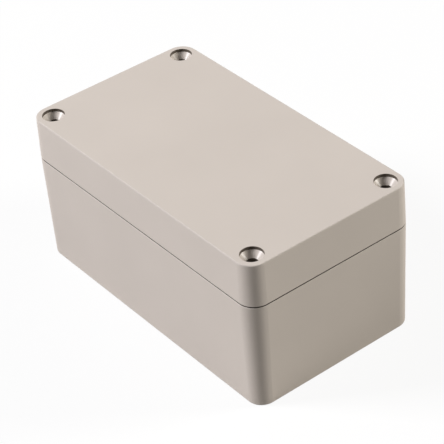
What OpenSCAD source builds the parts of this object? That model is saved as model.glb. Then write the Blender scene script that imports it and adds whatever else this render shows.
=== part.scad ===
// Sealed plastic enclosure: a deep drafted base, a lid with four countersunk
// screw holes, a gasket between them and threaded inserts in the corner pillars.
// Millimetres, +Z up, origin at the middle of the underside.

/* [Shell] */
// Outside length at the parting line
length = 115; // [95:1:160]
// Outside width at the parting line
width = 65; // [60:1:110]
// Height of the base, underside to parting line
base_height = 39.4; // [30:0.1:60]
// Height of the lid, parting line to top face
lid_height = 15.6; // [13:0.1:25]
// Outside corner radius at the parting line
corner_r = 6; // [5:0.5:9]
// Side wall thickness
wall = 3; // [2.8:0.1:3.6]
// Floor thickness of the base
floor_t = 2.8; // [2:0.1:4]
// Top plate thickness of the lid
roof_t = 2.8; // [2:0.1:4]
// Mould draft of every upright wall, in degrees
draft = 1; // [0.3:0.1:1.2]

/* [Edges] */
// Radius of the lid's top edge
top_edge_r = 0.4; // [0.3:0.1:1.5]
// Radius of the base's bottom edge
bottom_edge_r = 0.6; // [0.3:0.1:1.2]
// Chamfer of the lid's lower edge, at the seam
lid_chamfer = 0.1; // [0.05:0.05:0.4]
// Chamfer of the base's upper edge, at the seam
rim_chamfer = 0.25; // [0.05:0.05:0.4]
// Fillet between the inner walls and the floor or top plate
inner_edge_r = 0.6; // [0.3:0.1:1]

/* [Lid screw holes] */
// Distance of each screw axis from the two outside faces next to it
screw_inset = 6; // [5.5:0.1:6.5]
// Clearance hole for the screw
screw_hole_d = 3.8; // [3.2:0.1:4.2]
// Mouth of the conical recess
recess_d = 7.6; // [6.4:0.1:8.4]
// Straight wall at the mouth of the recess
recess_lip = 1.1; // [0.4:0.1:1.4]
// Full angle of the recess cone
recess_angle = 90; // [80:1:100]

/* [Corner pillars] */
// Distance of the pillar's inner faces from the outside faces
pillar_size = 11.5; // [11:0.1:13]
// Radius of the pillar's inner corner
pillar_r = 4.5; // [4:0.1:5.5]
// Fillet between the pillar and the side walls
pillar_fillet_r = 2.6; // [2.4:0.1:3.2]
// Blind mounting hole in the underside of each pillar
mount_hole_d = 3.3; // [2.8:0.1:4.5]
// Solid left between the mounting hole and the screw hole above it
mount_hole_web = 5; // [3:0.5:8]

/* [Threaded inserts] */
// Outside diameter of the insert's bands
insert_d = 5.2; // [4.8:0.1:5.6]
// Length of the insert
insert_length = 7; // [5:0.5:9]
// Bore of the insert
insert_bore_d = 2.9; // [2.5:0.1:3.3]
// Depth of the waist between the two bands
insert_waist = 0.4; // [0.2:0.1:0.6]
// How far the insert sits below the pillar's top
insert_sink = 0.3; // [0.1:0.1:1]
// Clearance around the insert in its hole
insert_clearance = 0.03; // [0.02:0.01:0.1]
// Hole for the screw's end below the insert
screw_end_d = 4.3; // [3.8:0.1:4.6]
// Depth of the hole for the screw's end
screw_end_room = 6; // [3:0.5:8]

/* [Seal] */
// Gap at the seam, left by the relaxed gasket
seam = 0.35; // [0.2:0.05:0.6]
// Distance of the tongue from the base's inner wall
tongue_inset = 0.4; // [0.3:0.05:0.5]
// Thickness of the tongue
tongue_w = 1.2; // [1:0.05:1.4]
// Height of the tongue above the base's rim
tongue_h = 2; // [1.5:0.1:3]
// Side clearance of the tongue in the lid's groove
tongue_clearance = 0.25; // [0.2:0.05:0.3]
// Height of the gasket strip
gasket_h = 2.2; // [1.5:0.1:3]
// Side clearance of the gasket in the groove
gasket_clearance = 0.05; // [0.03:0.01:0.1]
// Thickness of the lid's lip inside the groove
lip_w = 1.2; // [1:0.1:1.6]

/* [Board mounts] */
// Spacing of the bosses along the length
boss_span_x = 76; // [50:1:80]
// Spacing of the bosses across the width
boss_span_y = 36; // [26:1:38]
// Diameter of a boss at its top
boss_d = 6; // [5:0.1:7]
// Height of the bosses on the floor
boss_h = 6; // [4:0.5:10]
// Height of the bosses under the lid
lid_boss_h = 4; // [3:0.5:6]
// Pilot hole in a boss
pilot_d = 2.5; // [2:0.1:3]
// Solid bottom left below a pilot hole
pilot_floor = 1; // [0.5:0.1:1.5]
// Number of upright board guides on each long wall
guide_count = 3; // [1:1:4]
// Spacing of the board guides
guide_pitch = 19; // [15:1:22]
// Slot between the two ribs of a guide
guide_slot = 2; // [1.6:0.1:3]
// Thickness of a guide rib
guide_rib_w = 1.2; // [1:0.1:2]
// How far a guide rib stands out of the wall at the rim
guide_depth = 1.6; // [1:0.1:2]
// Distance of the guides' tops below the rim
guide_drop = 4; // [2:0.5:8]

/* [Hidden] */

// Facets of a full circle, fewer on the small edge radii
$fn = 32;
edge_fn = 16;

overlap = 0.5;

// Nearest thousandth of a millimetre, so that neighbouring faces meet exactly
function to_micron(x) = round(x * 1000) / 1000;

// Levels
lid_bottom = base_height + seam;
lid_body_h = lid_height - seam;
top_z = base_height + lid_height;
tongue_top = base_height + tongue_h;
groove_top = tongue_top + gasket_h;
insert_z = base_height - insert_sink - insert_length;

// Offsets from the base's inner outline, outwards, in the plane of the rim
tongue_outset = tongue_inset + tongue_w;
groove_inset = tongue_inset - tongue_clearance;
groove_outset = tongue_outset + tongue_clearance;
lid_hollow_grow = groove_inset - lip_w;

// Screw axes
screw_x = length / 2 - screw_inset;
screw_y = width / 2 - screw_inset;

shell_grey = [0.80, 0.77, 0.72];
rubber_grey = [0.22, 0.22, 0.23];
brass = [0.72, 0.55, 0.26];

// Places its children at the four corners of a rectangle with these half sizes
module at_corners(x, y) {
    for (sx = [-1, 1], sy = [-1, 1])
        translate([sx * x, sy * y, 0])
            children();
}

// How far a flank of this height leans inwards
function set_in(rise) = to_micron(rise * tan(draft));

// Half section of a moulded block: it starts with radius r at the parting line,
// where its edge may be chamfered, and leans inwards over the height h to a
// rounded far edge.
module flank_section(r, h, chamfer, far_r) {
    far_x = r - set_in(h - chamfer - far_r);
    near_edge = chamfer == 0 ? [[r, 0]] : [[r - chamfer, 0], [r, chamfer]];
    far_edge = [[far_x, h - far_r], [far_x - far_r, h]];
    polygon(concat([[0, 0]], near_edge, far_edge, [[0, h]]));
    translate([far_x - far_r, h - far_r])
        rotate(180)
            circle(far_r, $fn = edge_fn);
}

// One end of a moulded block, from x = start to its end wall: the half section
// runs along one side, round both corners and along the other side. The core
// between the sides laps into them.
module moulded_end(end, half_w, start, r, h, chamfer, far_r) {
    corner_x = end - r;
    corner_y = half_w - r;
    lap = to_micron((r - set_in(h) - far_r) / 2);
    for (side = [0, 1])
        mirror([0, side, 0]) {
            translate([corner_x, corner_y, 0])
                rotate_extrude(angle = 90)
                    flank_section(r, h, chamfer, far_r);
            translate([start, corner_y, 0])
                rotate([90, 0, 90])
                    linear_extrude(corner_x - start)
                        flank_section(r, h, chamfer, far_r);
        }
    translate([corner_x, corner_y, 0])
        rotate([90, 0, 0])
            linear_extrude(2 * corner_y)
                flank_section(r, h, chamfer, far_r);
    translate([start, -corner_y - lap, 0])
        cube([corner_x + lap - start, 2 * (corner_y + lap), h]);
}

// Outside of a shell, built up from the parting line
module shell_block(h, chamfer, far_r) {
    for (turn = [0, 180])
        rotate(turn)
            moulded_end(length / 2, width / 2, 0, corner_r, h, chamfer, far_r);
}

// Inner corner of a pillar: it thickens with depth by the draft and flares into
// the floor with the fillet edge_r.
module pillar_corner(r, h, edge_r) {
    flare_z = h - edge_r;
    flare_x = r + set_in(flare_z) + edge_r;
    rotate_extrude()
        difference() {
            polygon([[0, 0], [r, 0], [flare_x - edge_r, flare_z], [flare_x, h], [0, h]]);
            translate([flare_x, flare_z])
                circle(edge_r, $fn = edge_fn);
        }
}

// Space inside a shell, from the rim inwards: a cross whose four arms reach the
// walls and pass the corner pillars. grow moves its outline outwards. The fillet
// at its bottom is limited by the corners that it runs round.
module hollow(depth, grow) {
    half_x = length / 2 - wall + grow;
    half_y = width / 2 - wall + grow;
    arm_x = length / 2 - pillar_size + grow;
    arm_y = width / 2 - pillar_size + grow;
    corner = pillar_fillet_r + grow;
    round_r = pillar_r - grow;
    turn_x = arm_x + round_r;
    turn_y = arm_y + round_r;
    edge_r = min(inner_edge_r, to_micron((corner - set_in(depth)) / 2));
    reach = round_r + set_in(depth) + 2 * edge_r;
    for (turn = [0, 180])
        rotate(turn) {
            moulded_end(half_x, arm_y, turn_x, corner, depth, 0, edge_r);
            rotate(90)
                moulded_end(half_y, arm_x, turn_y, corner, depth, 0, edge_r);
        }
    for (side_x = [0, 1], side_y = [0, 1])
        mirror([side_x, 0, 0])
            mirror([0, side_y, 0])
                translate([turn_x, turn_y, 0])
                    difference() {
                        translate([-reach - overlap, -reach - overlap, 0])
                            cube([reach + overlap, reach + overlap, depth]);
                        pillar_corner(round_r, depth, edge_r);
                    }
    translate([-turn_x - overlap, reach - turn_y, 0])
        cube([2 * (turn_x + overlap), 2 * (turn_y - reach), depth]);
    translate([reach - turn_x, -turn_y - overlap, 0])
        cube([2 * (turn_x - reach), 2 * (turn_y + overlap), depth]);
}

module rounded_rectangle(x, y, r) {
    square([x - 2 * r, y], center = true);
    square([x, y - 2 * r], center = true);
    at_corners(x / 2 - r, y / 2 - r)
        circle(r);
}

// Inner outline of the base at the rim, moved outwards by grow: it runs along
// the walls and round the inside of the corner pillars.
module rim_outline(grow) {
    arm_x = length / 2 - pillar_size + grow;
    arm_y = width / 2 - pillar_size + grow;
    round_r = pillar_r - grow;
    rounded_rectangle(length - 2 * wall + 2 * grow, 2 * arm_y, pillar_fillet_r + grow);
    rounded_rectangle(2 * arm_x, width - 2 * wall + 2 * grow, pillar_fillet_r + grow);
    for (side_x = [0, 1], side_y = [0, 1])
        mirror([side_x, 0])
            mirror([0, side_y])
                translate([arm_x + round_r, arm_y + round_r])
                    difference() {
                        translate([-round_r - overlap, -round_r - overlap])
                            square(round_r + overlap);
                        circle(round_r);
                    }
}

// Strip of constant width that follows the rim
module rim_strip(inner, outer, h) {
    linear_extrude(h)
        difference() {
            rim_outline(outer);
            rim_outline(inner);
        }
}

// Drafted boss for a thread-forming board screw, standing on z = 0 and rooted in
// the plate below it
module board_boss(h) {
    translate([0, 0, -overlap])
        cylinder(d1 = boss_d + 2 * set_in(h + overlap), d2 = boss_d, h = h + overlap);
}

// Pair of ribs that hold the edge of an upright board
module board_guide() {
    rib_root = wall / 2;
    rib_h = base_height - guide_drop - floor_t + overlap;
    for (rib_side = [-1, 1])
        translate([
            rib_side * (guide_slot + guide_rib_w) / 2 - guide_rib_w / 2,
            -rib_root,
            floor_t - overlap
        ])
            cube([guide_rib_w, rib_root + guide_depth, rib_h]);
}

// Stepped blind hole for an insert and the end of its screw, and the mounting
// hole that comes up from the underside.
module pillar_holes() {
    screw_end_z = insert_z - screw_end_room;
    translate([0, 0, insert_z])
        cylinder(d = insert_d + 2 * insert_clearance, h = insert_length + insert_sink + overlap);
    translate([0, 0, screw_end_z])
        cylinder(d = screw_end_d, h = screw_end_room + overlap);
    translate([0, 0, -overlap])
        cylinder(d = mount_hole_d, h = screw_end_z - mount_hole_web + overlap);
}

module base() {
    guide_y = width / 2 - wall;
    color(shell_grey)
        difference() {
            union() {
                difference() {
                    translate([0, 0, base_height])
                        mirror([0, 0, 1])
                            shell_block(base_height, rim_chamfer, bottom_edge_r);
                    translate([0, 0, base_height])
                        mirror([0, 0, 1])
                            hollow(base_height - floor_t, 0);
                }
                translate([0, 0, base_height - overlap])
                    rim_strip(tongue_inset, tongue_outset, tongue_h + overlap);
                at_corners(boss_span_x / 2, boss_span_y / 2)
                    translate([0, 0, floor_t])
                        board_boss(boss_h);
                for (i = [0:guide_count - 1], turn = [0, 180])
                    rotate(turn)
                        translate([(i - (guide_count - 1) / 2) * guide_pitch, -guide_y, 0])
                            board_guide();
            }
            at_corners(screw_x, screw_y)
                pillar_holes();
            at_corners(boss_span_x / 2, boss_span_y / 2)
                translate([0, 0, pilot_floor])
                    cylinder(d = pilot_d, h = floor_t + boss_h);
        }
}

// Clearance hole and conical recess for a countersunk screw, down from the top face
module screw_hole() {
    hole_r = screw_hole_d / 2;
    recess_r = recess_d / 2;
    cone_h = to_micron((recess_r - hole_r) / tan(recess_angle / 2));
    rotate_extrude()
        polygon([
            [0, -lid_height - overlap],
            [hole_r, -lid_height - overlap],
            [hole_r, -recess_lip - cone_h],
            [recess_r, -recess_lip],
            [recess_r, overlap],
            [0, overlap]
        ]);
}

module lid() {
    color(shell_grey)
        difference() {
            union() {
                difference() {
                    translate([0, 0, lid_bottom])
                        shell_block(lid_body_h, lid_chamfer, top_edge_r);
                    translate([0, 0, lid_bottom])
                        hollow(lid_body_h - roof_t, lid_hollow_grow);
                }
                at_corners(boss_span_x / 2, boss_span_y / 2)
                    translate([0, 0, top_z - roof_t])
                        mirror([0, 0, 1])
                            board_boss(lid_boss_h);
            }
            translate([0, 0, lid_bottom - overlap])
                rim_strip(groove_inset, groove_outset, groove_top - lid_bottom + overlap);
            at_corners(screw_x, screw_y)
                translate([0, 0, top_z])
                    screw_hole();
            at_corners(boss_span_x / 2, boss_span_y / 2)
                translate([0, 0, top_z - roof_t - lid_boss_h - overlap])
                    cylinder(d = pilot_d, h = roof_t + lid_boss_h + overlap - pilot_floor);
        }
}

// Moulded strip that fills the lid's groove and rests on the base's tongue
module gasket() {
    color(rubber_grey)
        translate([0, 0, tongue_top])
            rim_strip(groove_inset + gasket_clearance, groove_outset - gasket_clearance, gasket_h);
}

// Turned insert with two bands, a waist between them and a chamfered bore
module threaded_insert(sx, sy) {
    band_h = insert_length / 3;
    chamfer = insert_waist / 2;
    band_r = insert_d / 2;
    bore_r = insert_bore_d / 2;
    color(brass)
        translate([sx * screw_x, sy * screw_y, insert_z])
            rotate_extrude()
                polygon([
                    [bore_r, 0],
                    [band_r - chamfer, 0],
                    [band_r, chamfer],
                    [band_r, band_h],
                    [band_r - insert_waist, band_h + insert_waist],
                    [band_r - insert_waist, 2 * band_h - insert_waist],
                    [band_r, 2 * band_h],
                    [band_r, insert_length],
                    [bore_r + chamfer, insert_length],
                    [bore_r, insert_length - chamfer]
                ]);
}

base();
lid();
gasket();
threaded_insert(1, 1);  // insert_rear_right
threaded_insert(-1, 1);  // insert_rear_left
threaded_insert(-1, -1);  // insert_front_left
threaded_insert(1, -1);  // insert_front_right
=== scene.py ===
import math

import bmesh
import bpy
from mathutils import Matrix, Vector


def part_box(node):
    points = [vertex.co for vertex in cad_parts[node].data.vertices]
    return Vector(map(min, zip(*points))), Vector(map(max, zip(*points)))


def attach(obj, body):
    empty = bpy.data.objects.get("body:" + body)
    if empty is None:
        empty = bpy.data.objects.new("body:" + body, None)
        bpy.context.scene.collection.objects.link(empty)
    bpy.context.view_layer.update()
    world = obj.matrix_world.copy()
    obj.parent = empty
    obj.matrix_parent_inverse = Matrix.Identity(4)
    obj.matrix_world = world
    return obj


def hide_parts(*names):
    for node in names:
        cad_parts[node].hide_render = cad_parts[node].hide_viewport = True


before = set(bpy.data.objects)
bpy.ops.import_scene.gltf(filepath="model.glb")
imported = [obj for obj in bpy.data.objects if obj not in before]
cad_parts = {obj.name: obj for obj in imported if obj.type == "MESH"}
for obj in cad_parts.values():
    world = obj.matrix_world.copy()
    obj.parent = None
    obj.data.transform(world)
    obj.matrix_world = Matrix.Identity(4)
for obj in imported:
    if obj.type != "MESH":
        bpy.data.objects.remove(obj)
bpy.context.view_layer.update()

# Base
# The deep half of the enclosure, injection moulded in warm light grey ABS. Four corner pillars,
# a sealing tongue round its rim, board bosses and board guides are moulded in one with it.
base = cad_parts["base"]
half_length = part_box("base")[1].x
half_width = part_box("base")[1].y
corner_radius = 0.006
seam_gap = 0.00035
lid_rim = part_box("lid")[0].z
base_rim = lid_rim - seam_gap

dark_grey = (0.617, 0.564, 0.510, 1.0)
light_grey = (0.643, 0.588, 0.532, 1.0)
plastic_grain = 4200.0
plastic_roughness = (0.56, 0.66)

# Painted shade with some dust: a dark, matt band along the outer edge of the seam on base and lid
# stands for the shadow in the gap
joint_shade_and_dust = (0.055, 0.046, 0.038, 1.0)
joint_band_on_base = 0.00009
joint_band_on_lid = 0.00005
joint_band_depth = 0.0005
joint_band_fade = 0.00003
joint_band_roughness = 0.95

foot_edge_height = 0.0008
foot_edge_depth = 0.0014
handled_fade = 0.0004
handled_roughness = 0.44


def feed(links, node, values):
    for socket, value in zip(node.inputs, values):
        if isinstance(value, bpy.types.NodeSocket):
            links.new(value, socket)
        else:
            socket.default_value = value


def add_math(nodes, links, operation, *values):
    node = nodes.new("ShaderNodeMath")
    node.operation = operation
    feed(links, node, values)
    return node.outputs["Value"]


def add_vector_math(nodes, links, operation, *values):
    node = nodes.new("ShaderNodeVectorMath")
    node.operation = operation
    feed(links, node, values)
    return node.outputs["Value" if operation == "LENGTH" else "Vector"]


def add_range(nodes, links, value, start, end, low, high):
    node = nodes.new("ShaderNodeMapRange")
    feed(links, node, (value, start, end, low, high))
    return node.outputs["Result"]


def add_height(nodes, links, place):
    split = nodes.new("ShaderNodeSeparateXYZ")
    links.new(place, split.inputs["Vector"])
    return split.outputs["Z"]


def new_group(name, given, made):
    group = bpy.data.node_groups.new(name, "ShaderNodeTree")
    for socket in given:
        group.interface.new_socket(socket, in_out="INPUT", socket_type="NodeSocketFloat")
    for socket in made:
        group.interface.new_socket(socket, in_out="OUTPUT", socket_type="NodeSocketFloat")
    return group, group.nodes, group.links


def fine_grain_group():
    group, nodes, links = new_group("fine_grain", ("Grain Scale",), ("Height", "Tone"))
    given = nodes.new("NodeGroupInput")
    made = nodes.new("NodeGroupOutput")
    place = nodes.new("ShaderNodeTexCoord").outputs["Object"]
    grain = nodes.new("ShaderNodeTexNoise")
    grain.inputs["Detail"].default_value = 3.0
    grain.inputs["Roughness"].default_value = 0.6
    links.new(place, grain.inputs["Vector"])
    links.new(given.outputs["Grain Scale"], grain.inputs["Scale"])
    links.new(grain.outputs["Fac"], made.inputs["Height"])
    flow = nodes.new("ShaderNodeTexNoise")
    flow.inputs["Scale"].default_value = 28.0
    flow.inputs["Detail"].default_value = 2.0
    links.new(place, flow.inputs["Vector"])
    links.new(flow.outputs["Fac"], made.inputs["Tone"])
    return group


def outline_band_group():
    group, nodes, links = new_group("outline_band", ("Low", "High", "Depth", "Fade"), ("Mask",))
    given = nodes.new("NodeGroupInput")
    made = nodes.new("NodeGroupOutput")
    low, high, depth, fade = (given.outputs[name] for name in ("Low", "High", "Depth", "Fade"))
    place = nodes.new("ShaderNodeTexCoord").outputs["Object"]

    # The corner's centre is put a metre up, above every point, so that height drops out of the reach
    folded = add_vector_math(nodes, links, "ABSOLUTE", place)
    corner_centre = (half_length - corner_radius, half_width - corner_radius, 1.0)
    from_corner = add_vector_math(nodes, links, "SUBTRACT", folded, corner_centre)
    outside = add_vector_math(nodes, links, "MAXIMUM", from_corner, (0.0, 0.0, 0.0))
    reach = add_vector_math(nodes, links, "LENGTH", outside)
    from_wall = add_math(nodes, links, "SUBTRACT", corner_radius, reach)
    depth_end = add_math(nodes, links, "ADD", depth, fade)
    near = add_range(nodes, links, from_wall, depth, depth_end, 1.0, 0.0)

    height = add_height(nodes, links, place)
    low_end = add_math(nodes, links, "SUBTRACT", low, fade)
    above = add_range(nodes, links, height, low_end, low, 0.0, 1.0)
    high_end = add_math(nodes, links, "ADD", high, fade)
    below = add_range(nodes, links, height, high, high_end, 1.0, 0.0)
    between = add_math(nodes, links, "MULTIPLY", above, below)
    mask = add_math(nodes, links, "MULTIPLY", near, between)
    links.new(mask, made.inputs["Mask"])
    return group


fine_grain = fine_grain_group()
outline_band = outline_band_group()


def add_grain(nodes, scale):
    grain = nodes.new("ShaderNodeGroup")
    grain.node_tree = fine_grain
    grain.inputs["Grain Scale"].default_value = scale
    return grain.outputs


def add_band(nodes, links, low, high, depth, fade):
    band = nodes.new("ShaderNodeGroup")
    band.node_tree = outline_band
    feed(links, band, (low, high, depth, fade))
    return band.outputs["Mask"]


def add_ramp(nodes, links, value, dark, light, dark_end=0.0, light_end=1.0):
    ramp = nodes.new("ShaderNodeValToRGB")
    ramp.color_ramp.elements[0].position = dark_end
    ramp.color_ramp.elements[0].color = dark
    ramp.color_ramp.elements[1].position = light_end
    ramp.color_ramp.elements[1].color = light
    links.new(value, ramp.inputs["Fac"])
    return ramp.outputs["Color"]


def add_mix(nodes, links, kind, mask, below, over):
    mix = nodes.new("ShaderNodeMix")
    mix.data_type = kind
    mix.inputs["B"].default_value = over
    links.new(mask, mix.inputs["Factor"])
    links.new(below, mix.inputs["A"])
    return mix.outputs["Result"]


def add_bump(nodes, links, height, strength, distance):
    bump = nodes.new("ShaderNodeBump")
    bump.inputs["Strength"].default_value = strength
    bump.inputs["Distance"].default_value = distance
    links.new(height, bump.inputs["Height"])
    return bump.outputs["Normal"]


def new_material(name):
    material = bpy.data.materials.new(name)
    material.use_nodes = True
    return material, material.node_tree.nodes, material.node_tree.links


def shell_plastic(name, edge_low, edge_high, edge_depth):
    material, nodes, links = new_material(name)
    shader = nodes["Principled BSDF"]
    shader.inputs["IOR"].default_value = 1.52
    shader.inputs["Specular IOR Level"].default_value = 0.3
    grain = add_grain(nodes, plastic_grain)
    # The joint band paints the seam's shade, with some dust, into the base colour and makes it matt
    joint_band_low = base_rim - joint_band_on_base
    joint_band_high = lid_rim + joint_band_on_lid
    joint_shade_band = add_band(nodes, links, joint_band_low, joint_band_high, joint_band_depth, joint_band_fade)
    handled = add_band(nodes, links, edge_low, edge_high, edge_depth, handled_fade)
    colour = add_ramp(nodes, links, grain["Tone"], dark_grey, light_grey, dark_end=0.3, light_end=0.7)
    shade_and_dust_colour = add_mix(nodes, links, "RGBA", joint_shade_band, colour, joint_shade_and_dust)
    links.new(shade_and_dust_colour, shader.inputs["Base Color"])
    satin = add_range(nodes, links, grain["Height"], 0.0, 1.0, *plastic_roughness)
    polished = add_mix(nodes, links, "FLOAT", handled, satin, handled_roughness)
    matt = add_mix(nodes, links, "FLOAT", joint_shade_band, polished, joint_band_roughness)
    links.new(matt, shader.inputs["Roughness"])
    pitted = add_bump(nodes, links, grain["Height"], strength=0.15, distance=0.00002)
    links.new(pitted, shader.inputs["Normal"])
    return material


base.material_slots[0].material = shell_plastic("base_plastic", 0.0, foot_edge_height, foot_edge_depth)

# Threaded inserts
# Turned brass bushes with two knurled bands and a waist between them, pressed warm into the tops
# of the corner pillars. The lid's screws run in their thread.
insert_radius = 0.0026
insert_length = 0.007
band_length = insert_length / 3.0
waist_depth = 0.0004
waist_slope = 0.0003
knurl_depth = 0.00015
knurl_points = 72
knurl_crease = 25.0
thread_core = 0.00145
thread_depth = 0.0003
thread_pitch = 0.0006
thread_steps = 48
turns_below = 2
turns_above = 1
mouth_clearance = 0.0001
lead_in = 0.0002
merge_distance = 1e-7
dark_brass = (0.58, 0.37, 0.13, 1.0)
light_brass = (0.78, 0.55, 0.24, 1.0)
brass_grain = 9000.0
brass_roughness = (0.22, 0.42)


def verts_of(geometry):
    return [part for part in geometry if isinstance(part, bmesh.types.BMVert)]


def edges_of(geometry):
    return [part for part in geometry if isinstance(part, bmesh.types.BMEdge)]


def whole(shape):
    return shape.verts[:] + shape.edges[:] + shape.faces[:]


def close_shape(shape):
    bmesh.ops.remove_doubles(shape, verts=shape.verts, dist=merge_distance)
    bmesh.ops.recalc_face_normals(shape, faces=shape.faces)


def wind_thread(shape):
    flat = thread_pitch / 8.0
    flank = 3.0 * flat
    turns = turns_below + math.ceil(insert_length / thread_pitch) + turns_above
    profile = bmesh.ops.create_vert(shape, co=(thread_core, 0.0, -turns_below * thread_pitch))["vert"]
    for turn in range(turns):
        for out, rise in ((0.0, flat), (thread_depth, flank), (0.0, flat), (-thread_depth, flank)):
            step = bmesh.ops.extrude_vert_indiv(shape, verts=profile[-1:])["verts"]
            bmesh.ops.translate(shape, vec=(out, 0.0, rise), verts=step)
            profile.extend(step)

    # The spin climbs one pitch, so the turns meet as doubles and the spin itself merges nothing
    bmesh.ops.spin(
        shape,
        geom=shape.verts[:] + shape.edges[:],
        axis=(0.0, 0.0, 1.0),
        dvec=(0.0, 0.0, thread_pitch / thread_steps),
        angle=math.tau,
        steps=thread_steps,
    )
    bmesh.ops.remove_doubles(shape, verts=shape.verts, dist=merge_distance)


def flare_mouth(shape, height, side):
    cut = bmesh.ops.bisect_plane(
        shape,
        geom=whole(shape),
        plane_co=(0.0, 0.0, height - side * lead_in),
        plane_no=(0.0, 0.0, side),
        clear_outer=True,
    )
    flare = bmesh.ops.extrude_edge_only(shape, edges=edges_of(cut["geom_cut"]))["geom"]
    bmesh.ops.translate(shape, vec=(0.0, 0.0, side * lead_in), verts=verts_of(flare))
    mouth_radius = thread_core + thread_depth + mouth_clearance
    for vert in verts_of(flare):
        grow = mouth_radius / vert.co.xy.length
        bmesh.ops.scale(shape, vec=(grow, grow, 1.0), verts=[vert])
    return edges_of(flare)


def add_ring(shape, radius, height, notch=0.0):
    ring = bmesh.ops.create_circle(shape, cap_ends=False, segments=knurl_points, radius=radius)["verts"]
    if notch:
        shrink = 1.0 - notch / radius
        bmesh.ops.scale(shape, vec=(shrink, shrink, 1.0), verts=ring[::2])
    bmesh.ops.translate(shape, vec=(0.0, 0.0, height), verts=ring)
    return list(dict.fromkeys(edge for vert in ring for edge in vert.link_edges))


def insert_shape():
    shape = bmesh.new()
    wind_thread(shape)
    rim_radius = insert_radius - lead_in
    waist_radius = insert_radius - waist_depth
    lower_mouth = flare_mouth(shape, 0.0, -1.0)
    lower_rim = add_ring(shape, rim_radius, 0.0)
    upper_mouth = flare_mouth(shape, insert_length, 1.0)
    upper_rim = add_ring(shape, rim_radius, insert_length)
    rings = [
        lower_rim,
        add_ring(shape, insert_radius, lead_in, knurl_depth),
        add_ring(shape, insert_radius, band_length, knurl_depth),
        add_ring(shape, waist_radius, band_length + waist_slope),
        add_ring(shape, waist_radius, 2.0 * band_length - waist_slope),
        add_ring(shape, insert_radius, 2.0 * band_length, knurl_depth),
        add_ring(shape, insert_radius, insert_length - lead_in, knurl_depth),
        upper_rim,
    ]
    for lower, upper in zip(rings, rings[1:]):
        bmesh.ops.bridge_loops(shape, edges=lower + upper)
    for mouth, rim in ((lower_mouth, lower_rim), (upper_mouth, upper_rim)):
        bmesh.ops.triangle_fill(shape, use_beauty=True, edges=mouth + rim)
    close_shape(shape)
    return shape


def shade_by_angle(shape, crease):
    for face in shape.faces:
        face.smooth = True
    for edge in shape.edges:
        edge.smooth = edge.calc_face_angle(0.0) < math.radians(crease)


def add_piece(name, shape, material):
    mesh = bpy.data.meshes.new(name)
    shape.to_mesh(mesh)
    shape.free()
    mesh.materials.append(material)
    piece = bpy.data.objects.new(name, mesh)
    bpy.context.scene.collection.objects.link(piece)
    return piece


def turned_brass():
    material, nodes, links = new_material("turned_brass")
    shader = nodes["Principled BSDF"]
    shader.inputs["Metallic"].default_value = 1.0
    grain = add_grain(nodes, brass_grain)
    colour = add_ramp(nodes, links, grain["Height"], dark_brass, light_brass)
    links.new(colour, shader.inputs["Base Color"])
    gloss = add_range(nodes, links, grain["Height"], 0.0, 1.0, *brass_roughness)
    links.new(gloss, shader.inputs["Roughness"])
    place = nodes.new("ShaderNodeTexCoord").outputs["Object"]
    tool_marks = nodes.new("ShaderNodeTexWave")
    tool_marks.bands_direction = "Z"
    tool_marks.inputs["Scale"].default_value = 6000.0
    tool_marks.inputs["Distortion"].default_value = 1.5
    links.new(place, tool_marks.inputs["Vector"])
    turned = add_bump(nodes, links, tool_marks.outputs["Fac"], strength=0.2, distance=0.00001)
    links.new(turned, shader.inputs["Normal"])
    return material


brass = turned_brass()
for corner in ("rear_right", "rear_left", "front_left", "front_right"):
    low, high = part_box("insert_" + corner)
    middle = (low + high) / 2.0
    bush = insert_shape()
    bmesh.ops.translate(bush, vec=(middle.x, middle.y, low.z), verts=bush.verts)
    shade_by_angle(bush, knurl_crease)
    insert = add_piece("threaded_insert_" + corner, bush, brass)
    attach(insert, "base")
    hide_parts("insert_" + corner)

# Lid
# The shallow half, moulded in the same plastic, with a conical recess for a countersunk screw in
# each corner. The mould's polished pins leave the recesses smoother than the faces.
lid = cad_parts["lid"]
lid_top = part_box("lid")[1].z
top_edge_height = 0.0006
top_edge_depth = 0.0010
screw_inset = 0.006
screw_axis = (half_length - screw_inset, half_width - screw_inset, 0.0)
hole_radius = 0.0019
recess_radius = 0.0038
recess_depth = 0.0031
recess_roughness = 0.31
# Painted shade for the upright lip of each recess and the screw bore below it
recess_painted_shade = (0.13, 0.11, 0.09, 1.0)
wall_margin = 0.00002


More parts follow.
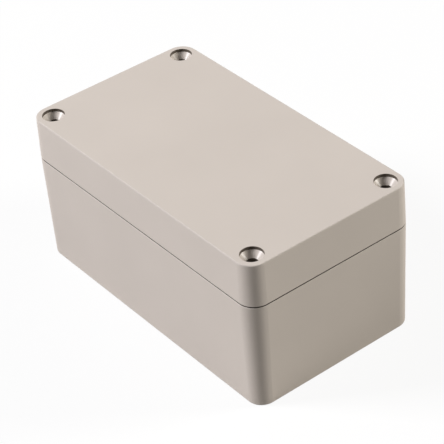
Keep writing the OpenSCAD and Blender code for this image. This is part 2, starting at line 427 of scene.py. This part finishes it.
def lid_plastic():
    material = shell_plastic("lid_plastic", lid_top - top_edge_height, lid_top, top_edge_depth)
    nodes = material.node_tree.nodes
    links = material.node_tree.links
    shader = nodes["Principled BSDF"]
    place = nodes.new("ShaderNodeTexCoord").outputs["Object"]
    folded = add_vector_math(nodes, links, "ABSOLUTE", place)
    from_axis = add_vector_math(nodes, links, "SUBTRACT", folded, screw_axis)
    flat = add_vector_math(nodes, links, "MULTIPLY", from_axis, (1.0, 1.0, 0.0))
    radius = add_vector_math(nodes, links, "LENGTH", flat)
    height = add_height(nodes, links, place)

    inside = add_math(nodes, links, "LESS_THAN", radius, recess_radius + wall_margin)
    sunk = add_math(nodes, links, "LESS_THAN", height, lid_top - wall_margin)
    shallow = add_math(nodes, links, "GREATER_THAN", height, lid_top - recess_depth)
    layer = add_math(nodes, links, "MULTIPLY", sunk, shallow)
    recess = add_math(nodes, links, "MULTIPLY", inside, layer)
    satin = shader.inputs["Roughness"].links[0].from_socket
    smooth = add_mix(nodes, links, "FLOAT", recess, satin, recess_roughness)
    links.new(smooth, shader.inputs["Roughness"])

    # Painted shade: the bore and the recess's upright lip get a dark colour where shade falls in the
    # hollow
    bore = add_math(nodes, links, "LESS_THAN", radius, hole_radius + wall_margin)
    upright = add_math(nodes, links, "GREATER_THAN", radius, recess_radius - wall_margin)
    lip = add_math(nodes, links, "MULTIPLY", upright, recess)
    recess_shade_mask = add_math(nodes, links, "MAXIMUM", bore, lip)
    plain = shader.inputs["Base Color"].links[0].from_socket
    recess_shaded_colour = add_mix(nodes, links, "RGBA", recess_shade_mask, plain, recess_painted_shade)
    links.new(recess_shaded_colour, shader.inputs["Base Color"])
    return material


lid.material_slots[0].material = lid_plastic()

# Gasket
# A moulded strip of soft black rubber, pushed into the groove of the lid's rim. It runs round the
# screw pillars, and the base's tongue has pressed a shallow track into its underside.
strip_low, strip_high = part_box("gasket")
strip_side = 0.0008
strip_round = 0.00025
strip_crease = 35.0
track_mouth = 0.0005
track_floor = 0.0004
track_depth = 0.00012
corner_bend = 0.0036
pillar_bend = 0.0035
pillar_inset = 0.007
bend_steps = 10
mirror_merge = 1e-6
dark_rubber = (0.018, 0.018, 0.020, 1.0)
worn_rubber = (0.052, 0.052, 0.056, 1.0)
rubber_grain = 2600.0
rubber_roughness = (0.55, 0.78)


def strip_section(shape, x):
    corners = (
        (-strip_side, strip_low.z),
        (-track_mouth, strip_low.z),
        (-track_floor, strip_low.z + track_depth),
        (track_floor, strip_low.z + track_depth),
        (track_mouth, strip_low.z),
        (strip_side, strip_low.z),
        (strip_side, strip_high.z),
        (-strip_side, strip_high.z),
    )
    verts = [bmesh.ops.create_vert(shape, co=(x + out, 0.0, z))["vert"][0] for out, z in corners]
    bmesh.ops.contextual_create(shape, geom=verts)
    bmesh.ops.bevel(
        shape,
        geom=[verts[0], verts[5], verts[6], verts[7]],
        offset=strip_round,
        segments=4,
        profile=0.5,
        affect="VERTICES",
        material=-1,
    )
    bmesh.ops.delete(shape, geom=shape.faces[:], context="FACES_ONLY")
    return shape.edges[:]


def run_strip(shape, end, x, y):
    made = bmesh.ops.extrude_edge_only(shape, edges=end)["geom"]
    bmesh.ops.translate(shape, vec=(x, y, 0.0), verts=verts_of(made))
    return edges_of(made)


def bend_strip(shape, end, x, y, angle):
    end_verts = list(dict.fromkeys(vert for edge in end for vert in edge.verts))
    made = bmesh.ops.spin(
        shape,
        geom=end + end_verts,
        cent=(x, y, 0.0),
        axis=(0.0, 0.0, 1.0),
        angle=math.radians(angle),
        steps=bend_steps,
    )["geom_last"]
    return edges_of(made)


def gasket_shape():
    shape = bmesh.new()
    end_x = strip_high.x - strip_side
    side_y = strip_high.y - strip_side
    pillar_x = half_length - pillar_inset
    pillar_y = half_width - pillar_inset
    end_bend_x = end_x - corner_bend
    end_bend_y = pillar_y - pillar_bend - corner_bend
    side_bend_x = pillar_x - pillar_bend - corner_bend
    side_bend_y = side_y - corner_bend

    # A quarter of the strip, from the middle of an end wall to the middle of a side wall
    end = strip_section(shape, end_x)
    end = run_strip(shape, end, 0.0, end_bend_y)
    end = bend_strip(shape, end, end_bend_x, end_bend_y, 90.0)
    end = run_strip(shape, end, pillar_x - end_bend_x, 0.0)
    end = bend_strip(shape, end, pillar_x, pillar_y, -90.0)
    end = run_strip(shape, end, 0.0, side_bend_y - pillar_y)
    end = bend_strip(shape, end, side_bend_x, side_bend_y, 90.0)
    run_strip(shape, end, -side_bend_x, 0.0)
    for axis in ("X", "Y"):
        bmesh.ops.mirror(shape, geom=whole(shape), axis=axis, merge_dist=mirror_merge)
    close_shape(shape)
    return shape


def seal_rubber():
    material, nodes, links = new_material("seal_rubber")
    shader = nodes["Principled BSDF"]
    grain = add_grain(nodes, rubber_grain)
    colour = add_ramp(nodes, links, grain["Height"], dark_rubber, worn_rubber)
    links.new(colour, shader.inputs["Base Color"])
    gloss = add_range(nodes, links, grain["Height"], 0.0, 1.0, *rubber_roughness)
    links.new(gloss, shader.inputs["Roughness"])
    place = nodes.new("ShaderNodeTexCoord").outputs["Object"]
    pores = nodes.new("ShaderNodeTexVoronoi")
    pores.inputs["Scale"].default_value = 5200.0
    links.new(place, pores.inputs["Vector"])
    porous = add_bump(nodes, links, pores.outputs["Distance"], strength=0.35, distance=0.00003)
    links.new(porous, shader.inputs["Normal"])
    return material


strip = gasket_shape()
shade_by_angle(strip, strip_crease)
gasket = add_piece("rim_gasket", strip, seal_rubber())
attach(gasket, "lid")
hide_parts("gasket")

# Floor
# A plain pale sheet under the object. It looks white to the camera and in reflections, keeps the
# soft shadow, and throws only a grey bounce on the walls.
floor_size = 12.0
floor_white = (0.95, 0.95, 0.95, 1.0)
bounce_grey = (0.46, 0.45, 0.43, 1.0)
full_white = (1.0, 1.0, 1.0, 1.0)
seen_glow = 0.9
mirrored_glow = 0.3


def seen_directly(nodes, links, path):
    camera_ray = path.outputs["Is Camera Ray"]
    either = add_math(nodes, links, "MAXIMUM", camera_ray, path.outputs["Is Glossy Ray"])
    return add_math(nodes, links, "MAXIMUM", either, path.outputs["Is Transmission Ray"])


def add_shader_mix(nodes, links, share, first, second):
    mix = nodes.new("ShaderNodeMixShader")
    feed(links, mix, (share, first, second))
    return mix.outputs["Shader"]


def pale_floor():
    material, nodes, links = new_material("pale_floor")
    nodes.clear()
    out = nodes.new("ShaderNodeOutputMaterial")
    white = nodes.new("ShaderNodeBsdfDiffuse")
    white.inputs["Color"].default_value = floor_white
    glow = nodes.new("ShaderNodeEmission")
    glow.inputs["Color"].default_value = full_white
    glow.inputs["Strength"].default_value = 1.0
    bounce = nodes.new("ShaderNodeBsdfDiffuse")
    bounce.inputs["Color"].default_value = bounce_grey
    path = nodes.new("ShaderNodeLightPath")
    camera_ray = path.outputs["Is Camera Ray"]
    added_glow = seen_glow - mirrored_glow
    share = add_math(nodes, links, "MULTIPLY_ADD", camera_ray, added_glow, mirrored_glow)
    paper = add_shader_mix(nodes, links, share, white.outputs["BSDF"], glow.outputs["Emission"])
    direct = seen_directly(nodes, links, path)
    surface = add_shader_mix(nodes, links, direct, bounce.outputs["BSDF"], paper)
    links.new(surface, out.inputs["Surface"])
    return material


bpy.ops.mesh.primitive_plane_add(size=floor_size, location=(0.0, 0.0, 0.0))
floor = bpy.context.object
floor.name = "floor"
floor.data.materials.append(pale_floor())

# World
# A dim even room round the object. It is plain white where the camera looks straight at it and in
# reflections.
room_colour = (1.0, 0.97, 0.94, 1.0)
room_strength = 0.06


def light_room(world):
    world.use_nodes = True
    nodes = world.node_tree.nodes
    links = world.node_tree.links
    nodes.clear()
    out = nodes.new("ShaderNodeOutputWorld")
    room = nodes.new("ShaderNodeBackground")
    room.inputs["Color"].default_value = room_colour
    room.inputs["Strength"].default_value = room_strength
    backdrop = nodes.new("ShaderNodeBackground")
    backdrop.inputs["Color"].default_value = full_white
    direct = seen_directly(nodes, links, nodes.new("ShaderNodeLightPath"))
    surface = add_shader_mix(
        nodes, links, direct, room.outputs["Background"], backdrop.outputs["Background"]
    )
    links.new(surface, out.inputs["Surface"])


studio = bpy.data.worlds.new("studio")
light_room(studio)
bpy.context.scene.world = studio

# Lights
# Two square softboxes, one on each side of the object and a little behind it. Angles are in
# degrees, and the azimuths of the softboxes are counted from the camera's.
camera_azimuth = 54.34
softbox_size = 0.6
softbox_distance = 2.0
softbox_aim = Vector((0.0, 0.0, 0.03))
cool_white = (0.98, 0.965, 1.0)
warm_white = (1.0, 0.965, 0.905)


def add_softbox(name, azimuth, elevation, power, colour):
    lamp = bpy.data.lights.new(name, "AREA")
    lamp.shape = "SQUARE"
    lamp.size = softbox_size
    lamp.energy = power
    lamp.color = colour
    softbox = bpy.data.objects.new(name, lamp)
    bpy.context.scene.collection.objects.link(softbox)
    bearing = math.radians(camera_azimuth + azimuth)
    rise = math.radians(elevation)
    direction = Vector((
        math.sin(bearing) * math.cos(rise),
        -math.cos(bearing) * math.cos(rise),
        math.sin(rise),
    ))
    turn = direction.to_track_quat("Z", "Y").to_matrix().to_4x4()
    softbox.matrix_world = Matrix.Translation(softbox_distance * direction + softbox_aim) @ turn


add_softbox("left_softbox", azimuth=-93.0, elevation=37.5, power=42.0, colour=cool_white)
add_softbox("right_softbox", azimuth=93.0, elevation=26.5, power=30.3, colour=warm_white)

# Camera
# At the photograph's angle and distance, as measured from the edges of the object. Its focal
# length was measured in the photograph's pixels.
camera_place = (0.40319, -0.28856, 0.39260)
camera_elevation = 36.544
camera_roll = -4.877
focal_pixels = 1890.0
photo_pixels = 444.0
sensor_width = 36.0

camera_data = bpy.data.cameras.new("camera")
camera_data.sensor_width = sensor_width
camera_data.lens = focal_pixels * sensor_width / photo_pixels
camera = bpy.data.objects.new("camera", camera_data)
bpy.context.scene.collection.objects.link(camera)
camera.matrix_world = (
    Matrix.Translation(camera_place)
    @ Matrix.Rotation(math.radians(camera_azimuth), 4, "Z")
    @ Matrix.Rotation(math.radians(90.0 - camera_elevation), 4, "X")
    @ Matrix.Rotation(math.radians(camera_roll), 4, "Z")
)
bpy.context.scene.camera = camera
bpy.context.scene.view_settings.view_transform = "Standard"
